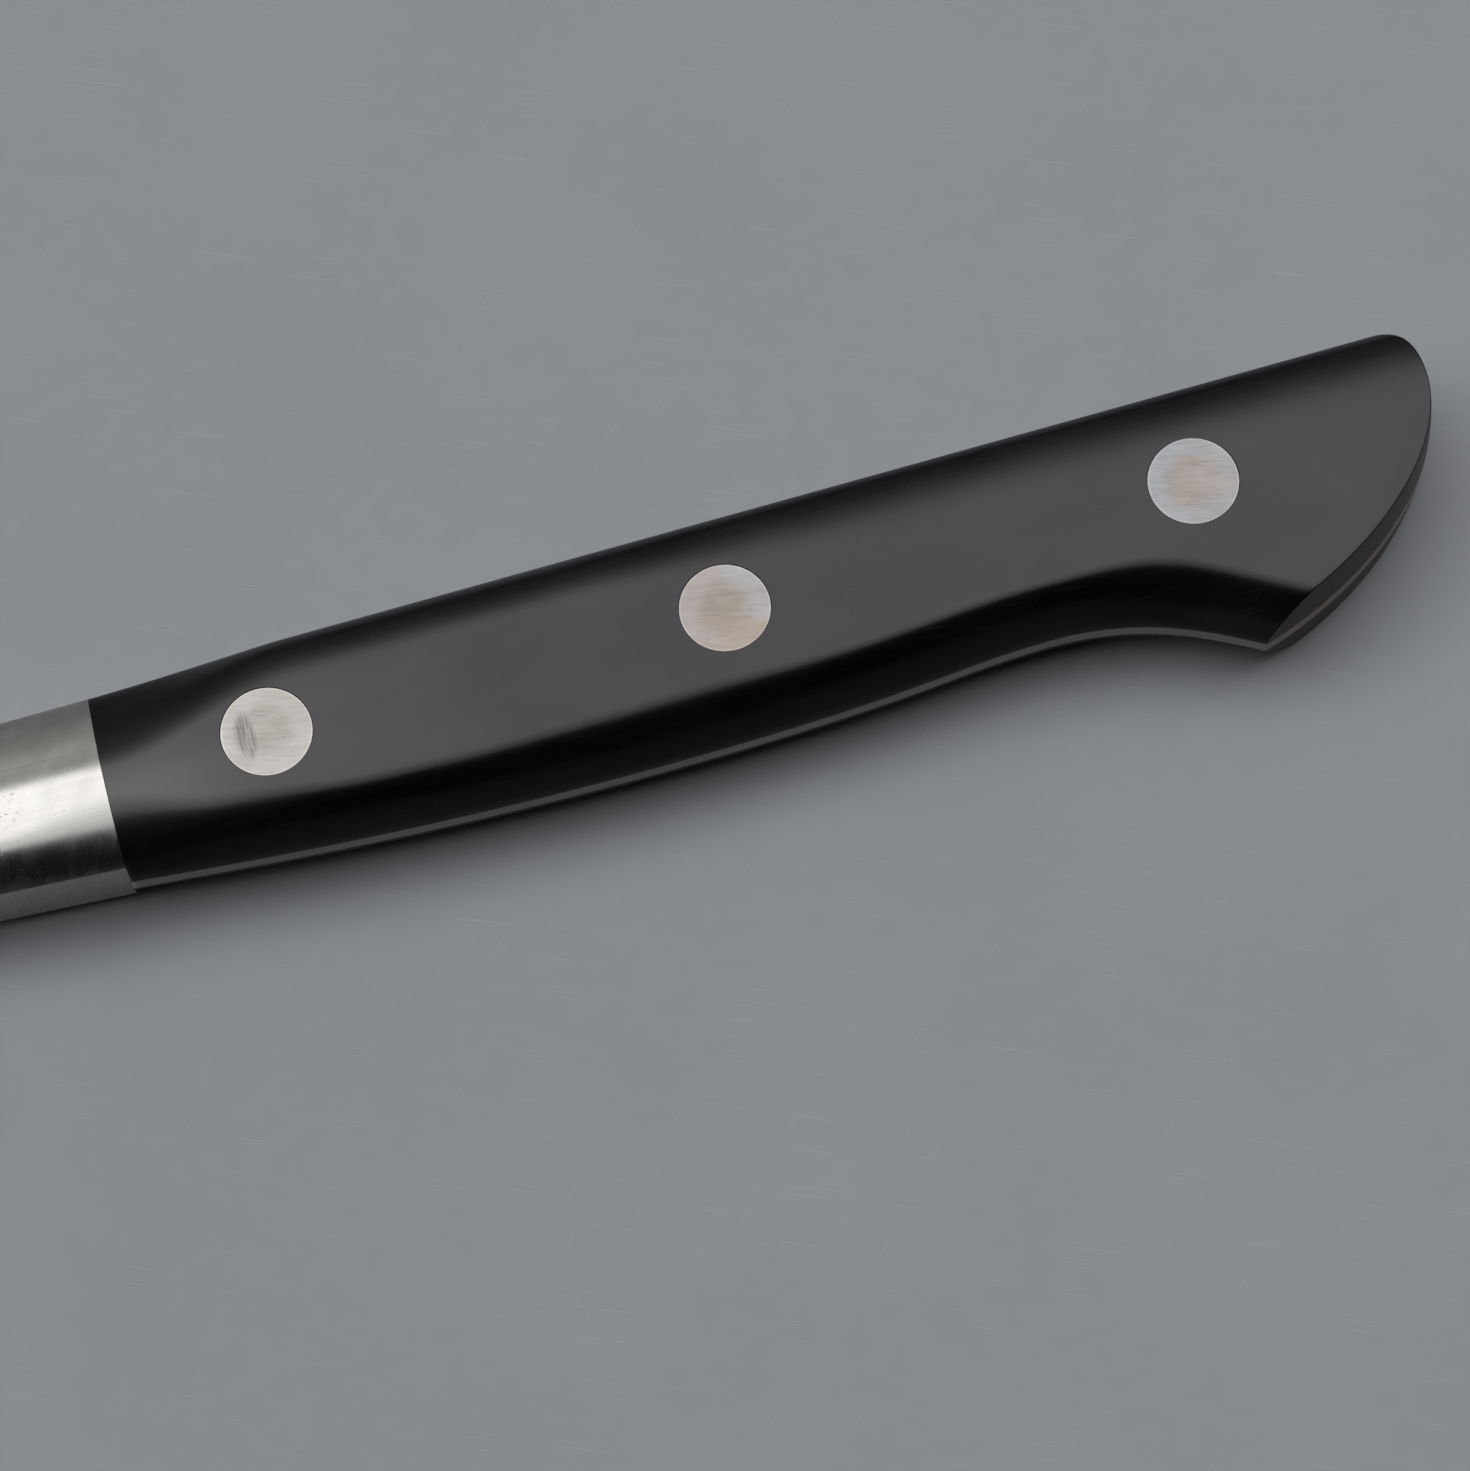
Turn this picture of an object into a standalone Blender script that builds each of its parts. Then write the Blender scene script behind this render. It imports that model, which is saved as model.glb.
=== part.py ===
# Kitchen utility knife with a riveted full-tang handle, lying on its right-hand slab.
# Drawing frame: x = 0 where bolster and slabs meet at the spine, +x to the butt;
# y = 0 on the spine, with the edge towards -y; z = 0 on the middle plane of the blade.
import bpy
import bmesh
import numpy as np
from math import cos, pi, radians, sin

mm = 0.001

# Handle
handle_length = 106.04 * mm
half_thickness = 5.4 * mm
tang_thickness = 1.6 * mm
fit_gap = 0.2 * mm
butt_crown = 0.3 * mm
joint_lean = 0.03

# Belly line of the handle: front edge, swell, waist and hook point, with the reach of the curve between them
belly_front = -14.85 * mm
belly_front_slope = -0.115
swell = (42.0 * mm, -17.39 * mm)
swell_reach = 20.0 * mm
hook_begins = 60.0 * mm
waist = (72.1 * mm, -16.11 * mm)
waist_reach_front = 8.0 * mm
waist_reach_rear = 7.3 * mm
hook = (87.95 * mm, -21.11 * mm)
hook_reach = 4.1 * mm
hook_slope = -0.58

# Butt: direction of the end cut at the hook, and the rounded corner where it turns into the spine
butt_angle = radians(16.3)
butt_reach_hook = 10.1 * mm
butt_reach_top = 6.8 * mm
butt_top = -4.56 * mm
corner_start = (98.0 * mm, 0.45 * mm)
corner_reach = 6.0 * mm
corner_fall = 0.2 * mm
corner_height = -0.3 * mm

# Rounds of the section as cubics from the edge to the face, in millimetres: each point's distance in from
# the edge and its depth below the face, at the bolster joint and where the handle has settled. The belly's
# flanks are slanted and turn upright only near the tang.
spine_curve_joint = ((0.0, 3.3), (2.35, 1.9), (5.1, 0.0), (7.5, 0.0))
spine_curve = ((0.0, 2.4), (0.2, 1.1), (2.0, 0.0), (5.0, 0.0))
spine_blend = 14.0 * mm
belly_curve_joint = ((0.0, 4.2), (0.4, 2.8), (2.8, 0.0), (6.2, 0.0))
belly_curve = ((0.0, 4.2), (0.4, 2.75), (2.0, 0.0), (4.1, 0.0))
belly_blend = 22.0 * mm

# Bolster
bolster_length = 17.5 * mm
bolster_ramp = 6.0 * mm
bolster_front_half = 1.6 * mm
bolster_under_slope = 0.068
bolster_under_step = 0.42 * mm
bolster_belly_curve = ((0.0, 2.2), (0.75, 1.25), (2.1, 0.0), (5.4, 0.0))
neck_top = -2.2 * mm
neck_bottom = -10.5 * mm

# Blade
blade_length = 150.0 * mm
heel_height = 28.0 * mm
heel_setback = 4.0 * mm
choil_radius = 5.0 * mm
spine_thickness = 1.8 * mm
tip_thickness = 0.7 * mm
taper_power = 1.5
bevel_height = 0.9 * mm
bevel_thickness = 0.36 * mm
edge_thickness = 0.08 * mm
spine_chamfer = 0.12 * mm
tip_drop = 8.5 * mm
tip_width = 0.5 * mm
spine_reach = 42.0 * mm
spine_sweep = 1.2 * mm
edge_reach = 36.0 * mm
edge_sweep = 3.5 * mm

# Two-part rivets: (name, x, y) of each, and the turned sizes
rivets = (
    ("front", 12.55 * mm, -7.66 * mm),
    ("middle", 48.61 * mm, -8.00 * mm),
    ("rear", 85.85 * mm, -8.30 * mm),
)
head_radius = 3.5 * mm
head_thickness = 1.5 * mm
head_recess = 0.05 * mm
head_chamfer = 0.1 * mm
sleeve_radius = 2.3 * mm
bore_radius = 1.6 * mm
shank_radius = 1.45 * mm
shank_chamfer = 0.3 * mm
round_steps = 36

# Places that follow from the sizes above
slab_inside = tang_thickness / 2 + fit_gap
joint = fit_gap / 2
neck_front = -bolster_length - fit_gap
heel_x = -bolster_length - heel_setback
tip_x = heel_x - blade_length
under_joint = belly_front + bolster_under_step
neck_under = under_joint + bolster_under_slope * bolster_length
overshoot = 4.0 * mm
neck_overlap = 2.0 * mm


def bezier(points, count):
    """Points along a cubic curve given by its two ends and two handles."""
    a, b, c, d = (np.array(p) for p in points)
    t = np.linspace(0.0, 1.0, count + 1)[:, None]
    return (1 - t) ** 3 * a + 3 * (1 - t) ** 2 * t * b + 3 * (1 - t) * t ** 2 * c + t ** 3 * d


def smooth(value):
    """Ease from 0 to 1."""
    v = np.clip(value, 0.0, 1.0)
    return v * v * (3 - 2 * v)


def belly_line(count=14):
    """Underside of the handle in side view, from the bolster to the hook point."""
    third = swell[0] / 3
    front = bezier(((0, belly_front), (third, belly_front + belly_front_slope * third),
                    (2 * third, swell[1]), swell), count)
    middle = bezier((swell, (swell[0] + swell_reach, swell[1]),
                     (waist[0] - waist_reach_front, waist[1]), waist), count)
    rear = bezier((waist, (waist[0] + waist_reach_rear, waist[1]),
                   (hook[0] - hook_reach, hook[1] - hook_slope * hook_reach), hook), count)
    return np.vstack([front, middle[1:], rear[1:]])


def butt_line(count=14):
    """End of the handle in side view, from the hook point round the top corner to the spine."""
    reach = np.array((cos(butt_angle), sin(butt_angle))) * butt_reach_hook
    cut = bezier((hook, np.add(hook, reach), (handle_length, butt_top - butt_reach_top),
                  (handle_length, butt_top)), count)
    corner = bezier(((handle_length, butt_top), (handle_length, corner_height),
                     (corner_start[0] + corner_reach, corner_start[1] - corner_fall), corner_start), count)
    return np.vstack([cut, corner[1:]])


def belly_at(x):
    """Height of the belly line at x, carried straight on in front of the bolster joint and past the hook."""
    line = belly_line(60)
    inside = np.interp(x, line[:, 0], line[:, 1])
    ahead = bolster_under_slope * np.minimum(x, 0.0)
    past = hook_slope * np.maximum(x - hook[0], 0.0)
    return inside - ahead + past


def spine_round(x):
    """Outside of one half of the handle at x, from the spine over its round to the face, as (y, z) points."""
    mix = smooth(x / spine_blend)
    points = np.add(np.multiply(spine_curve_joint, 1 - mix), np.multiply(spine_curve, mix))
    curve = bezier(points * mm, 9)
    return np.stack([-curve[:, 0], half_thickness - curve[:, 1]], 1)


def lower_round(points, edge):
    """From the face over a round, given by its cubic, down to the edge."""
    curve = bezier(np.multiply(points, mm), 11)[::-1]
    return np.stack([edge + curve[:, 0], half_thickness - curve[:, 1]], 1)


def belly_round(x):
    """From the face over the belly round to the belly edge at x."""
    mix = smooth(x / belly_blend)
    points = np.add(np.multiply(belly_curve_joint, 1 - mix), np.multiply(belly_curve, mix))
    return lower_round(points, belly_at(x))


def slab_section(x):
    """Spine round, flat face and belly round of a slab at x."""
    return np.vstack([spine_round(x), belly_round(x)])


def link(obj, home):
    """Put an object in its collection, under the knife's empty."""
    home.objects.link(obj)
    obj.parent = knife
    return obj


def cutter(obj):
    """File an object as a cutter."""
    obj.hide_render = True
    obj.display_type = 'WIRE'
    return link(obj, cutters)


def loft(name, rings):
    """Closed skin over rings of matching points, with flat ends, filled in millimetres to keep it exact."""
    bm = bmesh.new()
    rows = [[bm.verts.new(np.divide(point, mm)) for point in ring] for ring in rings]
    for near, far in zip(rows, rows[1:]):
        for i in range(len(near)):
            j = (i + 1) % len(near)
            bm.faces.new((near[i], near[j], far[j], far[i]))
    bm.faces.new(rows[0])
    bm.faces.new(rows[-1])
    bmesh.ops.triangulate(bm, faces=bm.faces[:])
    bmesh.ops.recalc_face_normals(bm, faces=bm.faces[:])
    bmesh.ops.scale(bm, vec=(mm, mm, mm), verts=bm.verts[:])
    mesh = bpy.data.meshes.new(name)
    bm.to_mesh(mesh)
    bm.free()
    return bpy.data.objects.new(name, mesh)


def plate(name, outline, thickness):
    """Flat plate of an outline, centred on the middle plane."""
    curve = bpy.data.curves.new(name, 'CURVE')
    curve.dimensions = '2D'
    curve.fill_mode = 'BOTH'
    curve.extrude = thickness / 2
    spline = curve.splines.new('POLY')
    spline.points.add(len(outline) - 1)
    for point, (x, y) in zip(spline.points, outline):
        point.co = (x, y, 0.0, 1.0)
    spline.use_cyclic_u = True
    drawn = bpy.data.objects.new(name + "_outline", curve)
    bpy.context.scene.collection.objects.link(drawn)
    seen = drawn.evaluated_get(bpy.context.evaluated_depsgraph_get())
    mesh = bpy.data.meshes.new_from_object(seen)
    bm = bmesh.new()
    bm.from_mesh(mesh)
    bmesh.ops.remove_doubles(bm, verts=bm.verts[:], dist=0.001 * mm)
    bmesh.ops.recalc_face_normals(bm, faces=bm.faces[:])
    bm.to_mesh(mesh)
    bm.free()
    obj = bpy.data.objects.new(name, mesh)
    obj.matrix_world = drawn.matrix_world
    bpy.data.objects.remove(drawn)
    return obj


def turned(name, profile):
    """Round piece about z from a profile of (radius, z) that runs down its outer side."""
    mesh = bpy.data.meshes.new(name)
    edges = [(i, i + 1) for i in range(len(profile) - 1)]
    mesh.from_pydata([(radius, 0.0, z) for radius, z in profile], edges, [])
    obj = bpy.data.objects.new(name, mesh)
    screw = obj.modifiers.new("turn", 'SCREW')
    screw.steps = round_steps
    screw.render_steps = round_steps
    screw.use_merge_vertices = True
    screw.merge_threshold = 0.01 * mm
    return obj


def boolean(obj, tool, operation):
    """Cut, join or trim an object with another one."""
    step = obj.modifiers.new(operation.lower() + "_" + tool.name, 'BOOLEAN')
    step.operation = operation
    step.object = tool
    step.solver = 'EXACT'


def finish(obj, material):
    """Give a piece its material and smooth shading that breaks at real edges."""
    obj.data.materials.append(material)
    obj.data.shade_smooth()
    obj.data.set_sharp_from_angle(angle=radians(30))
    return link(obj, pieces)


def surface(name, colour, roughness, metallic):
    """Plain material for a piece."""
    material = bpy.data.materials.new(name)
    material.use_nodes = True
    shader = material.node_tree.nodes["Principled BSDF"]
    shader.inputs["Base Color"].default_value = (*colour, 1.0)
    shader.inputs["Roughness"].default_value = roughness
    shader.inputs["Metallic"].default_value = metallic
    return material


def make_holes():
    """Stepped cutters for the rivets: shank bore through the middle, counterbore at both faces."""
    bore = sleeve_radius + fit_gap
    seat = head_radius + fit_gap
    shoulder = half_thickness - head_recess - head_thickness - fit_gap
    beyond = half_thickness + overshoot
    holes = []
    for name, x, y in rivets:
        profile = [(0.0, beyond), (seat, beyond), (seat, shoulder), (bore, shoulder),
                   (bore, -shoulder), (seat, -shoulder), (seat, -beyond), (0.0, -beyond)]
        hole = cutter(turned("hole_" + name, profile))
        hole.location = (x, y, 0.0)
        holes.append(hole)
    return holes


def make_slab(name, side, holes, material):
    """Handle slab: lofted rounded section, crowned end cut, stepped rivet holes."""
    straight = np.linspace(joint, hook_begins, 21)
    hooked = np.linspace(hook_begins, handle_length + overshoot / 2, 28)
    stations = np.concatenate([straight, hooked[1:]])
    rings = []
    for x in stations:
        lean = joint_lean if x == joint else 0.0
        ring = np.vstack([[0.0, slab_inside], slab_section(x), [belly_at(x), slab_inside]])
        rings.append([(x + lean * y, y, side * z) for y, z in ring])
    slab = loft(name, rings)
    boolean(slab, make_butt_form("butt_form_" + name, side), 'INTERSECT')
    for hole in holes:
        boolean(slab, hole, 'DIFFERENCE')
    return finish(slab, material)


def make_butt_form(name, side):
    """Solid that trims a slab's end: the butt line, set back towards the outer face as a shallow crown."""
    line = butt_line()
    heading = np.gradient(line, axis=0)
    heading /= np.linalg.norm(heading, axis=1)[:, None]
    inward = np.stack([-heading[:, 1], heading[:, 0]], 1)
    above = 3 * mm
    below = 20 * mm
    start = (hook[0] - below * cos(butt_angle), hook[1] - below * sin(butt_angle))
    rings = []
    for level in np.linspace(slab_inside / 2, half_thickness + fit_gap, 7):
        shaped = line + inward * butt_crown * (level / half_thickness) ** 2
        outline = np.vstack([[-overshoot, start[1]], start, shaped, [corner_start[0] - above, above],
                             [-overshoot, above]])
        rings.append([(x, y, side * level) for x, y in outline])
    return cutter(loft(name, rings))


def make_bolster(name, side, pocket, material):
    """Bolster cheek: the slab's front section narrows forward, flat below, and is coved down to the blade."""
    seam = fit_gap / 2
    front_share = (bolster_front_half - seam) / (half_thickness - seam)
    drop = half_thickness - bolster_front_half
    cove = (bolster_ramp ** 2 + drop ** 2) / (2 * drop)
    section = np.vstack([spine_round(0.0), lower_round(bolster_belly_curve, under_joint)])
    body = np.linspace(-joint, bolster_ramp - bolster_length, 5)
    stations = np.concatenate([body, np.linspace(bolster_ramp - bolster_length, -bolster_length, 10)[1:]])
    rings = []
    for x in stations:
        reach = np.clip(x + bolster_length, 0.0, bolster_ramp)
        rise = cove - np.sqrt(cove ** 2 - reach ** 2)
        share = front_share + (1 - front_share) * rise / drop
        under = under_joint - bolster_under_slope * x
        outside = np.stack([section[:, 0] * under / under_joint, seam + (section[:, 1] - seam) * share], 1)
        ring = np.vstack([[0.0, seam], outside, [under, seam]])
        lean = joint_lean if x == -joint else 0.0
        rings.append([(x + lean * y, y, side * z) for y, z in ring])
    cheek = loft(name, rings)
    boolean(cheek, pocket, 'DIFFERENCE')
    return finish(cheek, material)


def make_pocket():
    """Cutter for the pocket that the neck fills between the two bolster cheeks."""
    front = -bolster_length - overshoot
    low = neck_bottom - fit_gap
    high = neck_top + fit_gap
    outline = [(front, low), (overshoot, low), (overshoot, high), (front, high)]
    return cutter(plate("neck_pocket", outline, tang_thickness + 2 * fit_gap))


def blade_profile(x):
    """Spine and edge height of the blade at x."""
    meet = (tip_x - tip_width, -tip_drop)
    third = blade_length / 3
    spine = bezier(((neck_front, 0.0), (heel_x - third, 0.0),
                    (meet[0] + spine_reach, -spine_sweep), meet), 200)
    edge = bezier(((neck_front, -heel_height), (heel_x - third, -heel_height),
                   (meet[0] + edge_reach, -heel_height + edge_sweep), meet), 200)
    top = np.interp(-x, -spine[:, 0], spine[:, 1])
    bottom = np.interp(-x, -edge[:, 0], edge[:, 1])
    return top, bottom


def make_blade_form():
    """Blade: wedge sections that thin from spine to edge and from heel to tip, with a ground edge bevel."""
    along = np.linspace(0.0, 1.0, 40)
    body = heel_x - blade_length * (1 - (1 - along) ** taper_power)
    stations = np.concatenate([[neck_front, (neck_front + heel_x) / 2], body])
    rings = []
    for x in stations:
        top, bottom = blade_profile(x)
        reach = np.clip((heel_x - x) / blade_length, 0.0, 1.0)
        thick = spine_thickness + (tip_thickness - spine_thickness) * reach ** taper_power
        plunge = smooth((neck_front - x) / heel_setback)
        low = spine_thickness + (bevel_thickness - spine_thickness) * plunge
        bevel = min(bevel_height, (top - bottom) / 4)
        half = [(top, thick / 2 - spine_chamfer), (top - spine_chamfer, thick / 2),
                (bottom + bevel, low / 2), (bottom, edge_thickness / 2)]
        ring = half + [(y, -z) for y, z in reversed(half)]
        rings.append([(x, y, z) for y, z in ring])
    form = cutter(loft("blade_form", rings))
    boolean(form, make_choil(), 'DIFFERENCE')
    return form


def make_choil():
    """Cutter behind the heel: upright heel edge, rounded up into the neck."""
    a = np.linspace(pi, pi / 2, 10)
    centre = (heel_x + choil_radius, neck_under - choil_radius)
    arc = np.stack([centre[0] + choil_radius * np.cos(a), centre[1] + choil_radius * np.sin(a)], 1)
    below = -heel_height - overshoot
    outline = np.vstack([[heel_x, below], arc, [overshoot, neck_under], [overshoot, below]])
    return cutter(plate("choil_form", outline, 2 * half_thickness))


def make_blade(holes, material):
    """Blade, neck and full tang as one piece of steel."""
    end = butt_line()
    end[:, 1] = np.minimum(end[:, 1], 0.0)
    neck_root = neck_front - neck_overlap
    shoulder = [(joint + joint_lean * y, y) for y in (neck_bottom, belly_front, 0.0, neck_top)]
    outline = np.vstack([[neck_root, neck_bottom], shoulder[:2], belly_line()[1:], end[1:],
                         shoulder[2:], [neck_root, neck_top]])
    blade = plate("blade", outline, tang_thickness)
    boolean(blade, make_blade_form(), 'UNION')
    for hole in holes:
        boolean(blade, hole, 'DIFFERENCE')
    return finish(blade, material)


def make_rivet(name, x, y, material):
    """Headed stud from above, pressed into a headed sleeve from below."""
    top = half_thickness - head_recess
    under_head = top - head_thickness
    sleeve_end = under_head - fit_gap
    bore_floor = -under_head
    shank_end = bore_floor + fit_gap
    rim = head_radius - head_chamfer
    stud = turned("rivet_" + name + "_stud", [
        (0.0, top), (rim, top), (head_radius, top - head_chamfer), (head_radius, under_head),
        (shank_radius, under_head), (shank_radius, shank_end + shank_chamfer),
        (shank_radius - shank_chamfer, shank_end), (0.0, shank_end)])
    sleeve = turned("rivet_" + name + "_sleeve", [
        (0.0, bore_floor), (bore_radius, bore_floor), (bore_radius, sleeve_end), (sleeve_radius, sleeve_end),
        (sleeve_radius, -under_head), (head_radius, -under_head), (head_radius, -top + head_chamfer),
        (rim, -top), (0.0, -top)])
    for half in (stud, sleeve):
        half.location = (x, y, 0.0)
        finish(half, material)


for old in list(bpy.data.objects):
    bpy.data.objects.remove(old)

pieces = bpy.data.collections.new("kitchen_utility_knife")
cutters = bpy.data.collections.new("cutters")
bpy.context.scene.collection.children.link(pieces)
bpy.context.scene.collection.children.link(cutters)

# The empty brings the drawing frame to the part frame: middle of the box, standing on the lower slab
knife = bpy.data.objects.new("knife_frame", None)
knife.location = (-(handle_length + tip_x) / 2, heel_height / 2, half_thickness)
pieces.objects.link(knife)

blade_steel = surface("blade_steel", (0.62, 0.62, 0.63), 0.3, 1.0)
bolster_steel = surface("bolster_steel", (0.60, 0.59, 0.57), 0.28, 1.0)
rivet_steel = surface("rivet_steel", (0.66, 0.64, 0.62), 0.4, 1.0)
handle_black = surface("handle_black", (0.012, 0.012, 0.013), 0.35, 0.0)

rivet_holes = make_holes()
neck_pocket = make_pocket()
make_blade(rivet_holes, blade_steel)
for side_name, side_sign in (("left", 1), ("right", -1)):
    make_bolster("bolster_" + side_name, side_sign, neck_pocket, bolster_steel)
    make_slab("handle_scale_" + side_name, side_sign, rivet_holes, handle_black)
for rivet_name, rivet_x, rivet_y in rivets:
    make_rivet(rivet_name, rivet_x, rivet_y, rivet_steel)
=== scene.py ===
import bmesh
import bpy
import numpy as np
from mathutils import Matrix


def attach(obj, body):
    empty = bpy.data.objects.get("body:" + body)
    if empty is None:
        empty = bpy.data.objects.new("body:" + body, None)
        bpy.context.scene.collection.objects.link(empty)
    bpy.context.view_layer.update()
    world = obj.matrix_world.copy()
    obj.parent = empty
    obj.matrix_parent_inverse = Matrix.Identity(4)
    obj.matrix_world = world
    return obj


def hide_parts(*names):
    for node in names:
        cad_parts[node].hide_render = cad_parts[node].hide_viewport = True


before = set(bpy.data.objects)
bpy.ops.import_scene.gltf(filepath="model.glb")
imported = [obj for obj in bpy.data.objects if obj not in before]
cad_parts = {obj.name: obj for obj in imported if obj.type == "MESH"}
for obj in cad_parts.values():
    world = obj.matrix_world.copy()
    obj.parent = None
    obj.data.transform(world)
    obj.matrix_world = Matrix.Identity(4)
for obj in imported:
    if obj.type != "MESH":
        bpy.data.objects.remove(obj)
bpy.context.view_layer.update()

scene = bpy.context.scene
drawingOrigin = np.array((32.73, 14.0, 5.4))  # mm, where the drawing's origin lies in the part's frame

# Drawing, in mm: x = 0 where bolster and slabs meet, +x to the butt; y = 0 on the spine; z = 0 on the mid-plane.
# A round is a cubic from the edge to the face: (distance in from the edge, depth below the face) of its points. The
# rounds along the spine and the belly change with x, each eased into the next.
handle = {
    "half": 5.4, "inside": 0.82, "jointGap": 0.02, "jointLean": 0.03,
    "front": (0.0, -14.85), "frontSlope": -0.115, "swell": (42.0, -17.39), "swellReach": 20.0,
    "waist": (72.1, -16.11), "waistReach": (8.0, 7.3), "hook": (87.95, -21.11), "hookReach": 4.1, "hookSlope": -0.58,
    "buttAngle": 16.3, "buttReach": 10.1, "butt": ((106.04, -11.36), (106.04, -4.56)),
    "corner": ((106.04, -0.3), (104.0, 0.25), (98.0, 0.45)), "crown": 0.3, "crownFade": 2.5, "edgeRound": 0.14,
    "spine": (
        (0, ((0, 3.3), (2.35, 1.9), (5.1, 0), (7.5, 0))), (15.5, ((0, 2.35), (0.2, 1.05), (1.95, 0), (4.65, 0))),
        (36, ((0, 2.35), (0.2, 1.05), (1.95, 0), (4.65, 0))), (66, ((0, 2.35), (0.2, 1.15), (2.2, 0), (7.9, 0))),
    ),
    "belly": (
        (0, ((0, 4.2), (0.35, 2.9), (2.15, 0), (5.75, 0))), (8, ((0, 4.2), (0.35, 2.9), (1.6, 0), (4.3, 0))),
        (20, ((0, 4.2), (0.35, 2.9), (1.4, 0), (3.5, 0))), (44, ((0, 4.2), (0.35, 2.9), (1.75, 0), (3.95, 0))),
        (60, ((0, 4.2), (0.35, 2.9), (1.68, 0), (3.38, 0))), (73, ((0, 4.2), (0.35, 2.9), (1.6, 0), (3.25, 0))),
        (84, ((0, 4.2), (0.35, 2.9), (2.55, 0), (4.55, 0))),
    ),
    "softEdge": 0.3, "softShare": 0.2, "softStart": 0.13, "endSearch": (60.0, 112.0), "rows": 210,
}


def cubic(points, t):  # (1-t)^3 a + 3(1-t)^2 t b + 3(1-t)t^2 c + t^3 d
    a, b, c, d = np.array(points, float)
    t = np.asarray(t, float)[..., None]
    return (1 - t) ** 3 * a + 3 * (1 - t) ** 2 * t * b + 3 * (1 - t) * t ** 2 * c + t ** 3 * d


def ease(v):  # 3v^2 - 2v^3, from 0 to 1
    v = np.clip(v, 0.0, 1.0)
    return v * v * (3 - 2 * v)


def roundCurve(points, t):  # the cubic, with its first part swapped for a parabola that starts upright on the edge
    share, start = handle["softShare"], handle["softStart"]
    t = np.asarray(t, float)
    edge = np.array(points[0], float)
    early = np.clip(t / share, 0, 1)[..., None]
    parabola = (1 - early) ** 2 * (edge + (0, handle["softEdge"])) + 2 * early * (1 - early) * edge
    parabola = parabola + early ** 2 * cubic(points, start)
    late = cubic(points, start + (1 - start) * np.clip((t - share) / (1 - share), 0, 1))
    return np.where(early < 1, parabola, late)


weld = {"reach": 2e-7, "sliver": 2e-8, "clear": 1e-4}  # in metres, but clear is a share of an edge


def closeSeams(bm):
    # Where two borders meet on one straight line, cells without area fall out and long edges face several short ones.
    # Each open edge is split at the open corners that lie on it, and the two sides are welded.
    slivers = [face for face in bm.faces if face.calc_area() < weld["sliver"] * face.calc_perimeter()]
    bmesh.ops.delete(bm, geom=slivers, context='FACES')
    rim = [edge for edge in bm.edges if edge.is_boundary]
    corners = list(dict.fromkeys(corner for edge in rim for corner in edge.verts))
    places = np.array([corner.co for corner in corners]).reshape(-1, 3)
    for edge in rim:
        start, end = edge.verts
        run = np.array(end.co - start.co)
        share = (places - np.array(start.co)) @ run / (run @ run)
        off = np.linalg.norm(places - np.array(start.co) - share[:, None] * run, axis=1)
        inside = (off < weld["reach"]) & (share > weld["clear"]) & (share < 1 - weld["clear"])
        for number in np.flatnonzero(inside)[np.argsort(share[inside])]:
            piece = next(each for each in end.link_edges if start in each.verts)
            start = bmesh.utils.edge_split(piece, start, 0.5)[1]
            start.co = places[number]
    bmesh.ops.remove_doubles(bm, verts=bm.verts[:], dist=weld["reach"])


def addPiece(name, grids, material, slot, replaced, sharp=30, cutters=()):
    # Each grid is rows x columns of points in the drawing; its cells become quads, and shared borders are welded.
    points, quads, first = [], [], 0
    for grid in grids:
        rows, columns = grid.shape[:2]
        index = first + np.arange(rows * columns).reshape(rows, columns)
        cells = np.stack([index[:-1, :-1], index[:-1, 1:], index[1:, 1:], index[1:, :-1]], -1)
        points.append(grid.reshape(-1, 3))
        quads.append(cells.reshape(-1, 4))
        first += rows * columns
    mesh = bpy.data.meshes.new(name)
    mesh.from_pydata((np.vstack(points) + drawingOrigin) * 0.001, [], np.vstack(quads))
    bm = bmesh.new()
    bm.from_mesh(mesh)
    bmesh.ops.remove_doubles(bm, verts=bm.verts[:], dist=weld["reach"])
    bmesh.ops.dissolve_degenerate(bm, edges=bm.edges[:], dist=weld["reach"])
    closeSeams(bm)
    bmesh.ops.recalc_face_normals(bm, faces=bm.faces[:])
    bm.to_mesh(mesh)
    bm.free()
    piece = bpy.data.objects.new(name, mesh)
    scene.collection.objects.link(piece)
    for cutter in cutters:
        cut = piece.modifiers.new("holes", 'BOOLEAN')
        cut.operation = 'DIFFERENCE'
        cut.object = cutter
    if cutters:
        mesh = bpy.data.meshes.new_from_object(piece.evaluated_get(bpy.context.evaluated_depsgraph_get()))
        piece.modifiers.clear()
        piece.data = mesh
        mesh.name = name
    if material is None:
        return piece
    mesh.materials.clear()
    mesh.materials.append(material)
    mesh.shade_smooth()
    mesh.set_sharp_from_angle(angle=np.radians(sharp))
    if slot == "handle_black":
        markZones(mesh)
    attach(piece, "root")
    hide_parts(*replaced)
    print("piece", name, len(mesh.vertices), "points", len(mesh.polygons), "faces")
    return piece


# endStart and endTop are in mm of the drawing, the others are parts of a unit normal
zones = {"flankStart": 0.6, "flankSpan": 0.28, "endStart": 88, "endTop": -1, "endAside": 0.5, "endBack": 0.25}


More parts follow.
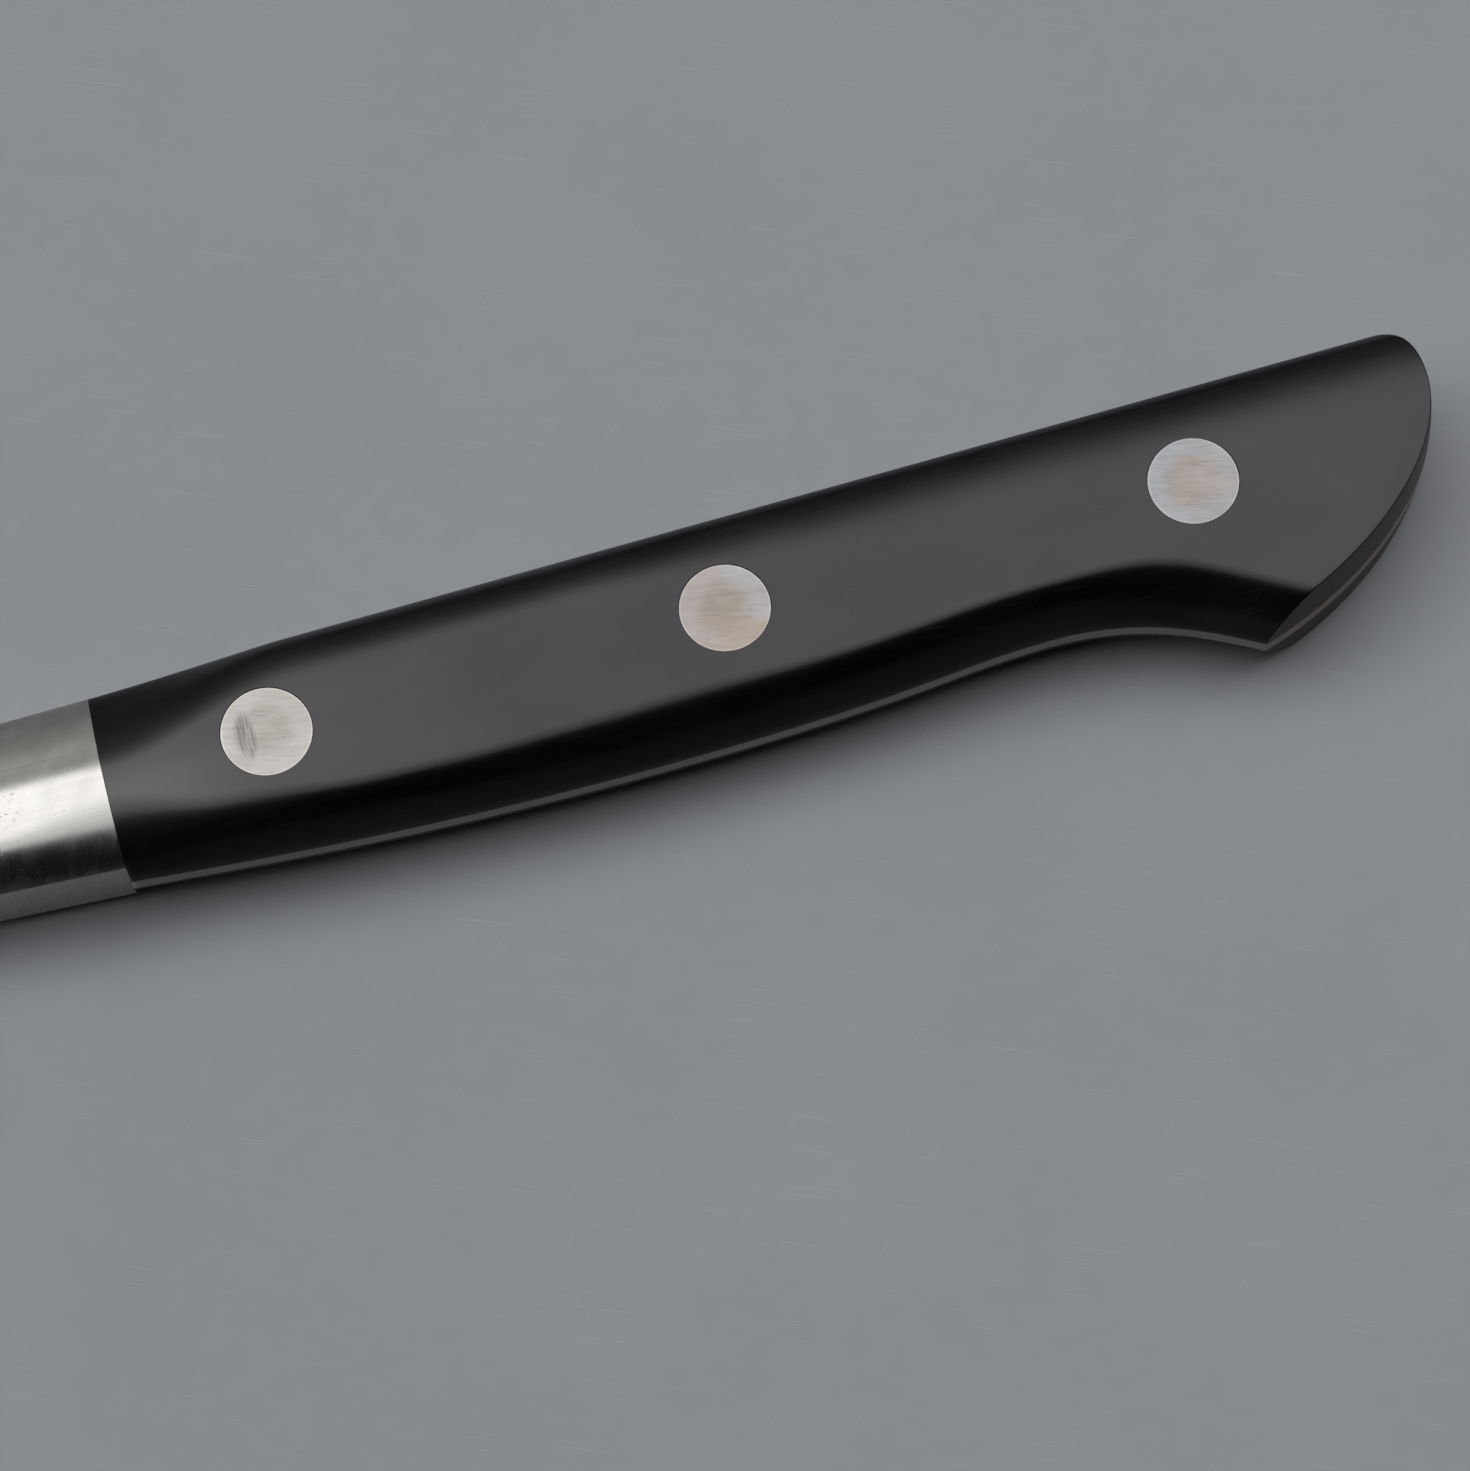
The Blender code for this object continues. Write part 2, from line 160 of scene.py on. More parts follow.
def markZones(mesh):
    # Two attributes found by where the surface looks: flank eases from 0 to 1 as the belly round turns down towards
    # the cutting edge, and endFace is 1 on the faces of the handle's end cut.
    looks = np.empty(3 * len(mesh.vertices))
    mesh.vertex_normals.foreach_get("vector", looks)
    flank = ease((-looks.reshape(-1, 3)[:, 1] - zones["flankStart"]) / zones["flankSpan"])
    mesh.attributes.new("flank", 'FLOAT', 'POINT').data.foreach_set("value", flank.astype(np.float32))
    normals, centres = np.empty(3 * len(mesh.polygons)), np.empty(3 * len(mesh.polygons))
    mesh.polygons.foreach_get("normal", normals)
    mesh.polygons.foreach_get("center", centres)
    normals, centres = normals.reshape(-1, 3), centres.reshape(-1, 3) * 1000 - drawingOrigin
    onEnd = (centres[:, 0] > zones["endStart"]) & (centres[:, 1] < zones["endTop"])
    onEnd &= (np.abs(normals[:, 2]) < zones["endAside"]) & (normals[:, 0] > zones["endBack"])
    mesh.attributes.new("endFace", 'FLOAT', 'FACE').data.foreach_set("value", onEnd.astype(np.float32))


class Wire:  # a shader socket that can be used in sums: each operation adds a Math node
    def __init__(self, tree, socket=None):
        self.tree = tree
        self.socket = socket

    def node(self, kind, settings=None, inputs=None, output=0):  # any node: settings first, then its sockets
        made = self.tree.nodes.new(kind)
        for key, value in (settings or {}).items():
            setattr(made, key, value)
        for key, value in (inputs or {}).items():
            if isinstance(value, Wire):
                self.tree.links.new(value.socket, made.inputs[key])
            else:
                made.inputs[key].default_value = value
        return Wire(self.tree, made.outputs[output])

    def math(self, operation, *values):
        return self.node("ShaderNodeMath", {"operation": operation}, dict(enumerate(values)))

    def __add__(self, other):
        return self.math('ADD', self, other)

    def __radd__(self, other):
        return self.math('ADD', other, self)

    def __sub__(self, other):
        return self.math('SUBTRACT', self, other)

    def __rsub__(self, other):
        return self.math('SUBTRACT', other, self)

    def __mul__(self, other):
        return self.math('MULTIPLY', self, other)

    def __rmul__(self, other):
        return self.math('MULTIPLY', other, self)

    def __truediv__(self, other):
        return self.math('DIVIDE', self, other)

    def __rtruediv__(self, other):
        return self.math('DIVIDE', other, self)

    def __pow__(self, other):
        return self.math('POWER', self, other)

    def __rpow__(self, other):
        return self.math('POWER', other, self)

    def most(self, other):  # the larger of the two
        return self.math('MAXIMUM', self, other)

    def step(self, low, high):  # eased from 0 at low to 1 at high
        return self.node("ShaderNodeMapRange", {"interpolation_type": 'SMOOTHSTEP'},
                         {"Value": self, "From Min": low, "From Max": high})

    def tint(self, dark, light):  # colour from dark to light along this value
        return self.node("ShaderNodeMix", {"data_type": 'RGBA'}, {0: self, 6: dark, 7: light}, 2)


def rgb(r, g, b):
    return (r, g, b, 1.0)


class Finish:  # a material with its Principled shader and its coordinates in mm about a centre of the drawing
    def __init__(self, name, centre=(0.0, 0.0, 0.0)):
        self.material = bpy.data.materials.new(name)
        self.material.use_nodes = True
        tree = self.material.node_tree
        self.shader = tree.nodes["Principled BSDF"]
        self.wire = Wire(tree)
        place = self.wire.node("ShaderNodeTexCoord", output=3)
        shift = tuple(-float(v) for v in np.add(centre, drawingOrigin))
        self.spot = self.wire.node("ShaderNodeMapping", None,
                                   {"Vector": place, "Scale": (1000.0, 1000.0, 1000.0), "Location": shift})

    def axis(self, number):
        return self.wire.node("ShaderNodeSeparateXYZ", None, {0: self.spot}, number)

    def noise(self, scale, detail=2.0, turn=0.0, shift=(0.0, 0.0, 0.0)):  # cells per mm along x, y, z after a turn
        turned = self.wire.node("ShaderNodeMapping", {"vector_type": 'TEXTURE'},
                                {"Vector": self.spot, "Rotation": (0.0, 0.0, float(np.radians(turn)))})
        scaled = self.wire.node("ShaderNodeMapping", None, {"Vector": turned, "Scale": scale, "Location": shift})
        return self.wire.node("ShaderNodeTexNoise", None, {"Vector": scaled, "Scale": 1.0, "Detail": detail})

    def marks(self, turn, length, width, rare, shift=(0.0, 0.0, 0.0)):
        # Thin straight scratches, 1 on the line: length and width in mm, fewer as rare rises
        lines = self.noise((1.0 / length, 1.0 / width, 0.4), 0.0, turn, shift)
        return lines.step(rare, rare + 0.09)

    def set(self, **values):  # constants on the shader's own sockets, what varies as links
        for key, value in values.items():
            socket = self.shader.inputs[key.replace("_", " ")]
            if isinstance(value, Wire):
                self.wire.tree.links.new(value.socket, socket)
            else:
                socket.default_value = value

    def bump(self, height, strength, depth):  # height in 0..1, depth in mm
        raised = self.wire.node("ShaderNodeBump", None,
                                {"Height": height, "Strength": strength, "Distance": depth * 0.001})
        self.set(Normal=raised)

    def blend(self, factor, inputs):  # a second Principled shader that takes over where the factor is 1
        second = self.wire.node("ShaderNodeBsdfPrincipled", None, inputs)
        first = Wire(self.wire.tree, self.shader.outputs[0])
        mixed = self.wire.node("ShaderNodeMixShader", None, {0: factor, 1: first, 2: second})
        output = self.wire.tree.nodes["Material Output"]
        self.wire.tree.links.new(mixed.socket, output.inputs["Surface"])


# In the finishes, a pair is where an ease starts and ends, in mm along x or y of the drawing
blackFinish = {
    "dark": rgb(0.001, 0.001, 0.001), "light": rgb(0.003, 0.003, 0.003), "sheen": rgb(0.965, 0.95, 1.0),
    "end": rgb(0.05, 0.043, 0.037), "dustTone": rgb(0.5, 0.5, 0.48), "dust": 0.06, "grain": 0.003, "rough": 0.28,
    "jointRough": 0.33, "endRough": 0.12, "coatRough": 0.3, "index": 1.46, "dullIndex": 1.45, "dullLevel": 0.14,
    "dullFlank": 0.9, "jointZone": (14.0, 2.0), "rubLength": (34.0, 16.0), "rubLow": (-6.3, -9.4),
    "rubSpine": (-2.8, -6.0), "rubBelly": (-14.2, -12.8),
}


def makeBlack():
    look = blackFinish
    f = Finish("handle_black")
    grain = f.noise((0.22, 5.0, 5.0), 3.0)  # lengthwise streaks
    cloud = f.noise((0.12, 0.16, 0.16), 2.0, shift=(7.0, 2.0, 0.0))
    scuff = f.marks(-8, 3.5, 0.07, 0.72).most(f.marks(34, 2.2, 0.06, 0.76, (3.0, 9.0, 1.0)))
    dust = f.noise((3.4, 3.4, 3.4), 1.0, shift=(1.5, 4.0, 2.0)).step(0.79, 0.83)
    worn = f.axis(0).step(*look["jointZone"])  # duller towards the bolster
    end = f.wire.node("ShaderNodeAttribute", {"attribute_name": "endFace"}, None, 2)
    flank = f.wire.node("ShaderNodeAttribute", {"attribute_name": "flank"}, None, 2)
    base = (grain * 0.7 + cloud * 0.3).step(0.3, 0.75).tint(look["dark"], look["light"])
    base = (dust * look["dust"] + scuff * 0.012).tint(base, look["dustTone"])
    rough = look["rough"] + worn * (look["jointRough"] - look["rough"]) + end * look["endRough"]
    rough = rough + (cloud - 0.5) * 0.08 + (grain - 0.5) * 0.06 + scuff * 0.08 + dust * 0.2
    rubbed = worn * (0.18 + f.axis(1).step(*look["rubLow"]) * 0.5) + f.axis(0).step(*look["rubLength"]) * 0.17
    rubbed = rubbed * f.axis(1).step(*look["rubSpine"]) * f.axis(1).step(*look["rubBelly"])  # polished by the fingers
    rubbed = (rubbed + (cloud - 0.42) * 0.35).most(0.0)
    f.set(Base_Color=base, Roughness=rough, IOR=look["index"], Specular_Tint=look["sheen"], Coat_Weight=rubbed,
          Coat_Roughness=look["coatRough"])
    f.blend(end.most(flank * look["dullFlank"]), {
        "Base Color": end.tint(base, look["end"]), "Roughness": rough, "IOR": look["dullIndex"],
        "Specular IOR Level": look["dullLevel"],
    })
    f.bump((grain * 0.6 + cloud * 0.4 - scuff * 0.5 + dust) * (1.0 - end), 0.25, look["grain"])
    return f.material


# upper is a lighter steel tone painted on as light: a painted highlight beside the spine and a painted reflection on
# the underside facet
bolsterFinish = {
    "dark": rgb(0.37, 0.36, 0.35), "light": rgb(0.45, 0.44, 0.425), "upper": rgb(0.64, 0.62, 0.58),
    "streak": rgb(0.36, 0.36, 0.375), "pit": rgb(0.16, 0.14, 0.12), "rough": 0.23, "satinRough": 0.18,
    "scratch": 0.0025, "satinZone": (-6.4, -4.6), "paintedLightZone": (-0.8, -4.2), "facetZone": (-14.2, -14.38),
    "nickZone": (-6.0, -7.6),
}


def makeBolsterSteel():
    look = bolsterFinish
    f = Finish("bolster_steel")
    cloud = f.noise((0.25, 0.25, 0.25), 3.0)
    along = f.noise((0.1, 6.0, 6.0), 2.0)
    cross = f.marks(76, 2.6, 0.05, 0.66).most(f.marks(62, 1.8, 0.045, 0.7, (5.0, 1.0, 0.0)))
    slant = f.marks(18, 3.0, 0.05, 0.7, (2.0, 7.0, 0.0)).most(f.marks(-28, 2.0, 0.045, 0.73, (9.0, 3.0, 0.0)))
    pits = f.noise((2.6, 2.6, 2.6), 1.0, shift=(4.0, 0.0, 8.0)).step(0.74, 0.8)
    scratch = cross.most(slant * 0.7)
    base = (cloud * 0.6 + along * 0.4).step(0.25, 0.75).tint(look["dark"], look["light"])
    satinAndPaintedLight = f.axis(1).step(*look["satinZone"])  # the slope beside the spine is less polished, and its lighter colour is a painted highlight
    # Painted highlight: the slope beside the spine is tinted towards the upper tone, more so away from the spine edge
    base = (satinAndPaintedLight * (0.15 + f.axis(1).step(*look["paintedLightZone"]) * 0.8)).tint(base, look["upper"])
    base = (along.step(0.5, 0.68) * satinAndPaintedLight * 0.4).tint(base, look["streak"])
    facetPaintedLight = (f.axis(1) + f.axis(0) * bolster["underSlope"]).step(*look["facetZone"])  # along the underside, whose lighter tint is a painted reflection of the floor
    base = (facetPaintedLight * 0.2).tint(base, look["upper"])
    nicks = f.noise((5.0, 2.2, 3.0), 1.0, 70, (1.0, 6.0, 3.0)).step(0.66, 0.76)
    pits = pits.most(nicks * f.axis(0).step(*look["nickZone"]))
    base = (pits * 0.55).tint(base, look["pit"])
    smear = f.noise((0.35, 0.7, 0.4), 2.0, 62, (3.0, 8.0, 2.0)).step(0.4, 0.75)
    rough = look["rough"] + cloud * 0.05 + smear * 0.05 + scratch * 0.04 + pits * 0.2 + satinAndPaintedLight * look["satinRough"]
    f.set(Base_Color=base, Roughness=rough, Metallic=1.0)
    f.bump(along * 0.3 + cloud * 0.2 - scratch * 0.5 - pits, 0.09, look["scratch"])
    return f.material


bladeFinish = {
    "dark": rgb(0.49, 0.49, 0.49), "light": rgb(0.63, 0.63, 0.635), "rough": 0.36, "tangRough": 0.15, "brush": 0.006,
    "tangDark": rgb(0.27, 0.265, 0.255), "tangLight": rgb(0.36, 0.355, 0.345), "tangZone": (-0.5, 0.0),
    "buttEnd": rgb(0.34, 0.285, 0.25), "buttZone": (87.0, 90.0),
}


def makeBladeSteel():
    look = bladeFinish
    f = Finish("blade_steel")
    brush = f.noise((0.05, 11.0, 11.0), 3.0)  # drawn along the blade
    broad = f.noise((0.02, 0.7, 0.7), 2.0, shift=(3.0, 1.0, 0.0))
    cloud = f.noise((0.06, 0.08, 0.08), 2.0, shift=(0.0, 5.0, 0.0))
    scratch = f.marks(4, 9.0, 0.06, 0.7).most(f.marks(-11, 5.0, 0.05, 0.74, (4.0, 2.0, 0.0)))
    tone = (brush * 0.5 + broad * 0.3 + cloud * 0.2).step(0.28, 0.72)
    base = tone.tint(look["dark"], look["light"])
    tang = f.axis(0).step(*look["tangZone"])  # the tang is given darker tones and more roughness than the blade
    base = tang.tint(base, tone.tint(look["tangDark"], look["tangLight"]))
    base = (f.axis(0).step(*look["buttZone"]) * 0.8).tint(base, look["buttEnd"])  # stained with the handle's end cut
    rough = look["rough"] + brush * 0.12 + cloud * 0.06 + scratch * 0.08 + tang * look["tangRough"]
    f.set(Base_Color=base, Roughness=rough, Metallic=1.0)
    f.bump(brush * 0.7 + broad * 0.3 - scratch * 0.4, 0.3, look["brush"])
    return f.material


# Ground rivet faces: each has its own tones, scuff and scratch angle. The scuff's place and size are in mm about the
# rivet's middle, and rimZone is a pair of radii.
rivetFinish = {
    "front": {"rim": rgb(0.53, 0.51, 0.485), "middle": rgb(0.44, 0.415, 0.385), "low": rgb(0.55, 0.53, 0.505),
              "far": rgb(0.50, 0.475, 0.445), "turn": -16, "seed": 0.0, "scuff": 0.8},
    "middle": {"rim": rgb(0.435, 0.395, 0.38), "middle": rgb(0.375, 0.33, 0.295), "low": rgb(0.435, 0.37, 0.315),
               "far": rgb(0.425, 0.42, 0.435), "turn": -13, "seed": 11.0, "scuff": 0.0},
    "rear": {"rim": rgb(0.385, 0.395, 0.415), "middle": rgb(0.375, 0.335, 0.315), "low": rgb(0.385, 0.37, 0.37),
             "far": rgb(0.39, 0.375, 0.375), "turn": -16, "seed": 23.0, "scuff": 0.0},
    "scratchTone": rgb(0.27, 0.255, 0.24), "scuffTone": rgb(0.2, 0.19, 0.18), "rough": 0.6, "scratch": 0.003,
    "scuffPlace": (-1.6, 0.1), "scuffSize": (0.95, 2.3), "rimZone": (3.3, 3.48),
}


def makeRivetSteel(name, x, y):
    look = rivetFinish[name]
    seed = look["seed"]
    f = Finish("rivet_steel_" + name, (x, y, 0.0))
    px, py = f.axis(0), f.axis(1)
    radius = (px * px + py * py) ** 0.5
    blot = f.noise((0.45, 0.45, 0.45), 3.0, shift=(seed, 2.0, 1.0))
    lines = f.noise((0.6, 7.0, 7.0), 3.0, look["turn"], (seed, 0.0, 0.0))
    dashes = f.noise((0.9, 5.5, 5.5), 1.0, look["turn"], (seed, 4.0, 0.0)).step(0.58, 0.72)
    inner = (radius + (blot - 0.5) * 3.2).step(2.9, 1.5)  # duller, scratched patch in the middle
    scuffX = (px - rivetFinish["scuffPlace"][0]) / rivetFinish["scuffSize"][0]
    scuffY = (py - rivetFinish["scuffPlace"][1]) / rivetFinish["scuffSize"][1]
    lens = scuffX ** 2 + scuffY ** 2  # 1 on the outline of the scuffed oval
    streaks = f.noise((7.5, 0.4, 1.0), 2.0, -3, (seed, 0.0, 3.0)).step(0.42, 0.58)
    scuff = lens.step(1.0, 0.15) * (0.35 + streaks * 0.65) * look["scuff"]
    base = inner.tint(look["rim"], look["middle"])
    base = ((px * 0.14 - py * 0.25 + (blot - 0.5) * 1.6).step(0.1, 0.9) * 0.8).tint(base, look["low"])
    base = ((px * 0.25 + py * 0.13 - (blot - 0.5) * 1.6).step(0.25, 0.8) * 0.8).tint(base, look["far"])
    base = (dashes * (0.1 + inner * 0.3) + (lines - 0.42) * 0.6).most(0.0).tint(base, rivetFinish["scratchTone"])
    base = scuff.tint(base, rivetFinish["scuffTone"])
    rough = rivetFinish["rough"] + (blot - 0.5) * 0.14 + (lines - 0.5) * 0.1
    rough = rough - radius.step(*rivetFinish["rimZone"]) * 0.1
    f.set(Base_Color=base, Roughness=rough, Metallic=1.0)
    f.bump(lines * 0.4 - dashes * 0.6 - scuff, 0.35, rivetFinish["scratch"])
    return f.material


def bellyLine(count=200):  # three cubics end to end: front edge to swell, swell to waist, waist to hook
    h = handle
    third = h["swell"][0] / 3
    t = np.linspace(0, 1, count + 1)
    front = cubic((h["front"], (third, h["front"][1] + h["frontSlope"] * third),
                   (2 * third, h["swell"][1]), h["swell"]), t)
    middle = cubic((h["swell"], (h["swell"][0] + h["swellReach"], h["swell"][1]),
                    (h["waist"][0] - h["waistReach"][0], h["waist"][1]), h["waist"]), t)
    rear = cubic((h["waist"], (h["waist"][0] + h["waistReach"][1], h["waist"][1]),
                  (h["hook"][0] - h["hookReach"], h["hook"][1] - h["hookSlope"] * h["hookReach"]), h["hook"]), t)
    return np.vstack([front, middle[1:], rear[1:]])


def buttLine(count=300):  # cubic from the hook round the end cut, then a cubic round the top corner to the spine
    h = handle
    angle = np.radians(h["buttAngle"])
    away = np.add(h["hook"], h["buttReach"] * np.array((np.cos(angle), np.sin(angle))))
    t = np.linspace(0, 1, count + 1)
    cut = cubic((h["hook"], away, *h["butt"]), t)
    corner = cubic((h["butt"][1], *h["corner"]), t)
    return np.vstack([cut, corner[1:]])


bellyPath = bellyLine()
buttPath = buttLine()
buttHeading = np.gradient(buttPath, axis=0)
buttHeading /= np.linalg.norm(buttHeading, axis=1)[:, None]


def bellyAt(x):  # belly height at x, carried straight on past the hook
    past = np.maximum(x - handle["hook"][0], 0.0)
    return np.interp(x, bellyPath[:, 0], bellyPath[:, 1]) + handle["hookSlope"] * past


def buttInward(y):  # unit vector into the handle, square to the butt line at height y
    headX, headY = (np.interp(y, buttPath[:, 1], buttHeading[:, k]) for k in (0, 1))
    return np.stack([-headY, headX], -1)


def buttSetBack(y, z):  # crown * (z / half)^2, eased away towards the spine
    return handle["crown"] * ease(-y / handle["crownFade"]) * (z / handle["half"]) ** 2


def buttAt(y, z):  # where the end cut lies at height y: the butt line, set back by the crown
    setBack = buttSetBack(y, z)
    inward = buttInward(y)
    return np.interp(y - inward[..., 1] * setBack, buttPath[:, 1], buttPath[:, 0]) + inward[..., 0] * setBack


def slabLines():  # lengthwise lines over a slab: flat spine, spine round, face, belly round, flat belly
    flat = np.linspace(0, 1, 5)
    spine = np.linspace(0, 1, 31)
    face = np.linspace(0, 1, 28)[1:-1]
    belly = np.linspace(1, 0, 36)
    still = np.ones(4)
    onSpine = np.concatenate([0 * still, spine, 1 + 0 * face, 1 + 0 * belly, still])
    onBelly = np.concatenate([still, 1 + 0 * spine, 1 + 0 * face, belly, 0 * still])
    share = np.concatenate([still, 1 + 0 * spine, 1 - face, 0 * belly, 0 * still])
    rise = np.concatenate([flat[:-1], 1 + 0 * spine, 1 + 0 * face, 1 + 0 * belly, flat[::-1][1:]])
    rounds = {"spine": [(x, roundCurve(points, onSpine)) for x, points in handle["spine"]],
              "belly": [(x, roundCurve(points, onBelly)) for x, points in handle["belly"]]}
    return {"share": share, "rise": rise, **rounds}


def roundAt(x, rounds):  # each round eased into the next between their two places along the handle
    place, at = rounds[0]
    for nextPlace, nextAt in rounds[1:]:
        mix = ease((x - place) / (nextPlace - place))[..., None]
        at = (1 - mix) * at + mix * nextAt
        place = nextPlace
    return at


def slabSkin(x, lines):
    # Point of each line at x: the spine round and the belly round of that x, weighted by the line's share of each;
    # flat lines rise from the inside plane to the round's start.
    spine = roundAt(x, lines["spine"])
    belly = roundAt(x, lines["belly"])
    share = lines["share"]
    y = -share * spine[..., 0] + (1 - share) * (bellyAt(x) + belly[..., 0])
    depth = share * spine[..., 1] + (1 - share) * belly[..., 1]
    z = handle["inside"] + (handle["half"] - depth - handle["inside"]) * lines["rise"]
    return np.stack([x, y, z], -1)


def slabGrids():
    # Skin from the joint to the end cut along every line, a small round over the cut's edge, the crowned end face,
    # the flat inside, ruled from the spine edge to the belly edge, and the joint face.
    lines = slabLines()
    count = len(lines["share"])
    low, high = (np.full(count, x) for x in handle["endSearch"])
    for halving in range(48):  # each line ends where it meets the end cut
        middle = (low + high) / 2
        point = slabSkin(middle, lines)
        past = middle > buttAt(point[:, 1], point[:, 2])
        high = np.where(past, middle, high)
        low = np.where(past, low, middle)
    front = handle["jointGap"] + handle["jointLean"] * slabSkin(np.zeros(count), lines)[:, 1]
    along = np.linspace(0, 1, handle["rows"] + 1)[:, None]
    skin = slabSkin(front + (high - front) * along, lines)
    edge = skin[-1]
    inward = buttInward(edge[:, 1])
    foot = edge[:, :2] - inward * buttSetBack(edge[:, 1], edge[:, 2])[:, None]

    def endFace(z):  # the butt line set back by the crown at each height
        xy = foot + inward * buttSetBack(edge[:, 1], z)[..., None]
        return np.concatenate([xy, np.broadcast_to(z[..., None], xy.shape[:-1] + (1,))], -1)

    tall = edge[:, 2] - handle["inside"]
    radius = np.minimum(handle["edgeRound"], 0.4 * tall)[:, None]
    back = skin[-2] - edge
    back /= np.linalg.norm(back, axis=1)[:, None]
    down = endFace(edge[:, 2] - np.maximum(radius[:, 0], 0.0)) - edge
    t = np.linspace(0, 1, 6)[:, None, None]
    rounded = (1 - t) ** 2 * (edge + radius * back) + 2 * t * (1 - t) * edge + t ** 2 * (edge + down)
    skin[-1] = rounded[0]
    fall = np.linspace(0, 1, 9)[:, None]
    cutFace = endFace(rounded[-1][:, 2] * (1 - fall) + handle["inside"] * fall)
    cutFace[0] = rounded[-1]
    outer = np.vstack([skin, rounded[1:], cutFace[1:]])
    across = np.clip(cutFace[-1, :, 1] / cutFace[-1, -1, 1], 0, 1)
    across = np.where(across < 0.002, 0, np.where(across > 0.998, 1, across))[None, :, None]  # no slivers
    spineEdge, bellyEdge = skin[:, :1], skin[:, -1:]
    ruled = spineEdge * (1 - across) + bellyEdge * across
    atEnd = along[:, :, None] == 1
    pull = along[:, :, None] * np.where((across > 0) & (across < 1), 1, atEnd)  # rows lean towards the end cut
    inner = ruled + pull * (cutFace[-1][None] - ruled[-1:])
    inner[..., 2] = handle["inside"]
    return [outer, inner, np.stack([skin[0], inner[0]])]


rivets = {
    "places": {"front": (12.55, -7.66), "middle": (48.61, -8.00), "rear": (85.85, -8.30)},
    "headRadius": 3.54, "headDepth": 1.5, "sleeveRadius": 2.3, "boreRadius": 1.6, "shankRadius": 1.45,
    "recess": 0.02, "dome": 0.03, "edgeRound": 0.06, "room": 0.03, "endRoom": 0.05, "shankChamfer": 0.3,
    "cutterHalf": 9, "sides": 120,
}


def turned(profile, x, y, sides):  # (radius, z) profile swept round a vertical axis at x, y
    angle = np.linspace(0, 2 * np.pi, sides + 1)
    radius, z = np.array(profile, float).T[..., None]
    ring = np.stack([x + radius * np.cos(angle), y + radius * np.sin(angle), z + 0 * angle], -1)
    ring[:, -1] = ring[:, 0]
    return ring


def headProfile():  # shallow dome: z falls with the square of the radius, then a quarter round
    soft = rivets["edgeRound"]
    r = np.linspace(0, rivets["headRadius"] - soft, 16)
    top = handle["half"] - rivets["recess"]
    face = np.stack([r, top - rivets["dome"] * (r / rivets["headRadius"]) ** 2], 1)
    angle = np.linspace(0, 1, 5)[1:] * np.pi / 2
    edge = np.stack([r[-1] + soft * np.sin(angle), face[-1, 1] - soft + soft * np.cos(angle)], 1)
    return np.vstack([face, edge])


def studGrid(x, y):
    under = handle["half"] - rivets["headDepth"]
    end = -under + rivets["endRoom"]
    shank, chamfer = rivets["shankRadius"], rivets["shankChamfer"]
    below = [(rivets["headRadius"], under), (shank, under), (shank, end + chamfer), (shank - chamfer, end), (0, end)]
    return turned(np.vstack([headProfile(), below]), x, y, rivets["sides"])


def sleeveGrid(x, y):
    under = handle["half"] - rivets["headDepth"]
    end = under - rivets["endRoom"]
    bore, wall = rivets["boreRadius"], rivets["sleeveRadius"]
    tube = [(0, -under), (bore, -under), (bore, end), (wall, end), (wall, -under), (rivets["headRadius"], -under)]
    head = headProfile()[::-1] * (1, -1)
    return turned(np.vstack([tube, head]), x, y, rivets["sides"])


def holeGrids():  # stepped holes: a seat for each head, a bore between them
    seat, bore = rivets["headRadius"] + rivets["room"], rivets["sleeveRadius"] + rivets["room"]
    shoulder, tall = handle["half"] - rivets["headDepth"] - rivets["endRoom"], rivets["cutterHalf"]
    above = [(0, tall), (seat, tall), (seat, shoulder), (bore, shoulder)]
    profile = above + [(radius, -z) for radius, z in above[::-1]]
    return [turned(profile, x, y, rivets["sides"]) for x, y in rivets["places"].values()]


bolster = {
    "length": 17.5, "ramp": 6.0, "frontHalf": 1.6, "underSlope": 0.068, "underStep": 0.42, "apexRound": 0.03,
    "belly": ((0, 2.2), (0.75, 1.25), (2.2, 0), (5.7, 0)), "bellyFront": ((0, 2.2), (0.8, 1.25), (1.9, 0), (4.0, 0)),
    "straight": 9.5, "roundFade": 9.0, "innerFlat": 0.15, "roundLines": 40, "rows": 90,
    "neckTop": -2.2, "neckBottom": -10.5, "neckHalf": 0.83, "neckRoom": 0.03,
}


